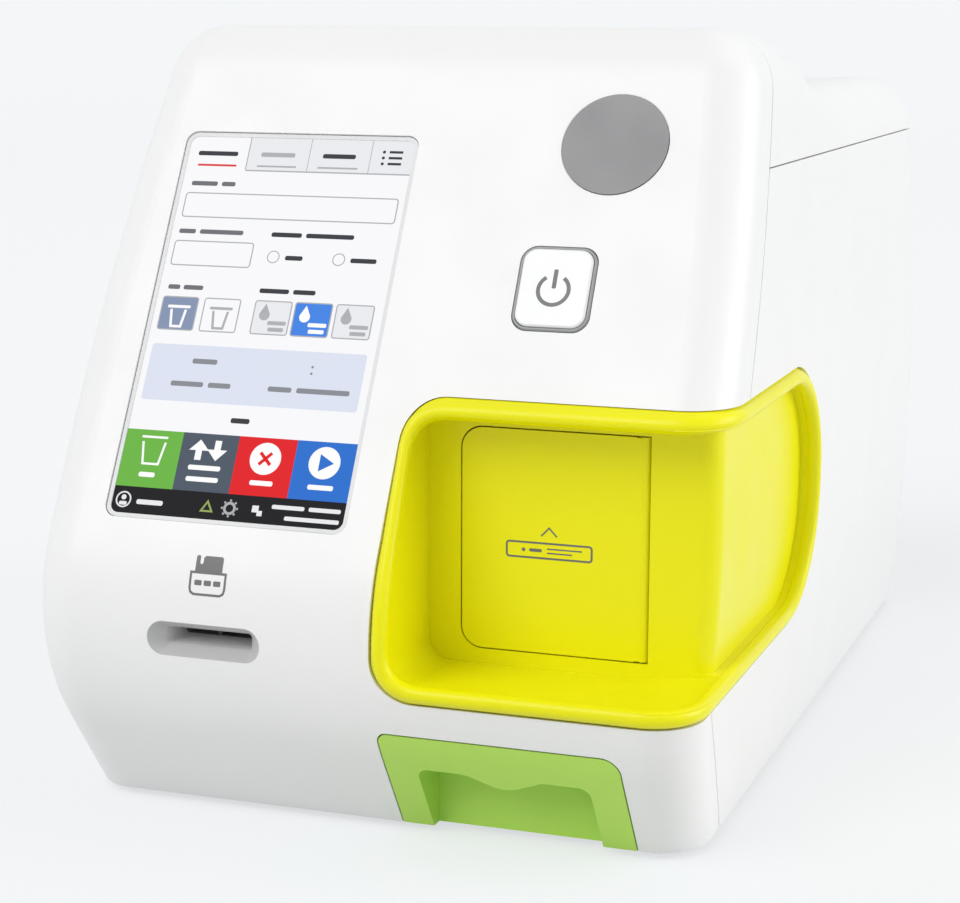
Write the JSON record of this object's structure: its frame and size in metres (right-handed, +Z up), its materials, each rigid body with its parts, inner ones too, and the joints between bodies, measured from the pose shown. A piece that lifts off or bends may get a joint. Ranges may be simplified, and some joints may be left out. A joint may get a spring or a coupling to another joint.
{
  "type": "rapid test reader",
  "caption": "White bench-top test reader with a sloped touch panel, a yellow corner recess with a cartridge door, a chip slot and a green waste drawer.",
  "frame": {"origin": "middle of the footprint on the surface that the feet stand on", "axes": "+X to the operator's right, +Y from the operating panel to the rear, +Z up"},
  "size_m": [0.1805, 0.3051, 0.204],
  "materials": {
    "cover_white": "satin moulded",
    "recess_yellow": "satin moulded",
    "drawer_green": "satin moulded",
    "base_grey": "moulded",
    "trim_grey": "moulded",
    "badge_grey": "moulded",
    "screen_black": "polished",
    "black_plastic": "moulded",
    "clear_polymer": "clear moulded",
    "gear_white": "moulded",
    "sheet_steel": "zinc plated",
    "bright_steel": "ground",
    "cast_aluminium": "machined",
    "motor_case": "painted",
    "circuit_board": "solder mask",
    "board_components": "moulded",
    "foot_rubber": "moulded",
    "brass_pillar": "turned"
  },
  "bodies": {
    "housing": {"inset_moulding": "recess_yellow", "front_cover": "cover_white", "top_cover": "cover_white", "side_housing": "cover_white", "base_plate": "base_grey", "base_screws": "bright_steel", "rubber_feet": "foot_rubber", "drawer_runners": "gear_white", "chassis": "sheet_steel", "door_pins": "bright_steel", "display_trim": "trim_grey", "touch_glass": "screen_black", "lcd_module": "black_plastic", "button_ring": "trim_grey", "button_switch": "black_plastic", "blank_badge": "badge_grey", "chip_socket": "black_plastic", "tray_guide": "base_grey", "heater_block": "cast_aluminium", "tray_motor": "motor_case", "motor_bracket": "sheet_steel", "pipettor_frame": "sheet_steel", "guide_rods": "bright_steel", "lift_motor": "motor_case", "optics_bridge": "sheet_steel", "optical_head": "black_plastic", "main_board": "circuit_board", "power_board": "circuit_board", "port_board": "circuit_board", "board_standoffs": "brass_pillar", "main_board_parts": "board_components", "power_board_parts": "board_components", "usb_sockets": "bright_steel", "network_socket": "bright_steel", "power_inlet": "black_plastic", "rear_panel": "base_grey", "panel_screws": "bright_steel", "fan_frame": "black_plastic"},
    "tray": {"cartridge_tray": "gear_white"},
    "door": {"cartridge_door": "recess_yellow"},
    "pinion": {"tray_pinion": "gear_white"},
    "drawer": {"drawer_front": "drawer_green", "drawer_box": "drawer_green"},
    "button": {"power_button": "cover_white"},
    "carriage": {"pipettor_carriage": "cast_aluminium", "syringe": "clear_polymer"},
    "lift_screw": {"lift_screw": "bright_steel"},
    "fan": {"fan_rotor": "black_plastic"}
  },
  "joints": [
    {"name": "tray_slide", "type": "slide", "parent": "housing", "child": "tray", "axis": [0, -1, 0], "range_m": [0, 0.09]},
    {"name": "door_hinge", "type": "hinge", "parent": "housing", "child": "door", "pos_m": [0.0661, -0.1135, 0.07555], "axis": [0, 0, 1], "range_deg": [0, 95]},
    {"name": "pinion_spin", "type": "hinge", "parent": "housing", "child": "pinion", "pos_m": [0.0589, -0.0723, 0.0545], "axis": [0, 0, 1], "range_deg": [0, 645]},
    {"name": "drawer_slide", "type": "slide", "parent": "housing", "child": "drawer", "axis": [0, -1, 0], "range_m": [0, 0.11]},
    {"name": "button_press", "type": "slide", "parent": "housing", "child": "button", "axis": [0, 0.8738, -0.4863], "range_m": [0, 0.0008], "stiffness_N_per_m": 800, "springref_m": -0.001},
    {"name": "carriage_lift", "type": "slide", "parent": "housing", "child": "carriage", "axis": [0, 0, 1], "range_m": [-0.034, 0]},
    {"name": "lift_screw_spin", "type": "hinge", "parent": "housing", "child": "lift_screw", "pos_m": [0.062, -0.0173, 0.13], "axis": [0, 0, 1], "range_deg": [-2449, 0]},
    {"name": "fan_spin", "type": "hinge", "parent": "housing", "child": "fan", "pos_m": [0.03, 0.1413, 0.102], "axis": [0, 1, 0], "continuous": true}
  ],
  "couplings": [
    {"joint": "door_hinge", "follows": "tray_slide", "rad_per_m": 18.42},
    {"joint": "pinion_spin", "follows": "tray_slide", "rad_per_m": 125},
    {"joint": "lift_screw_spin", "follows": "carriage_lift", "rad_per_m": 1256.6}
  ]
}
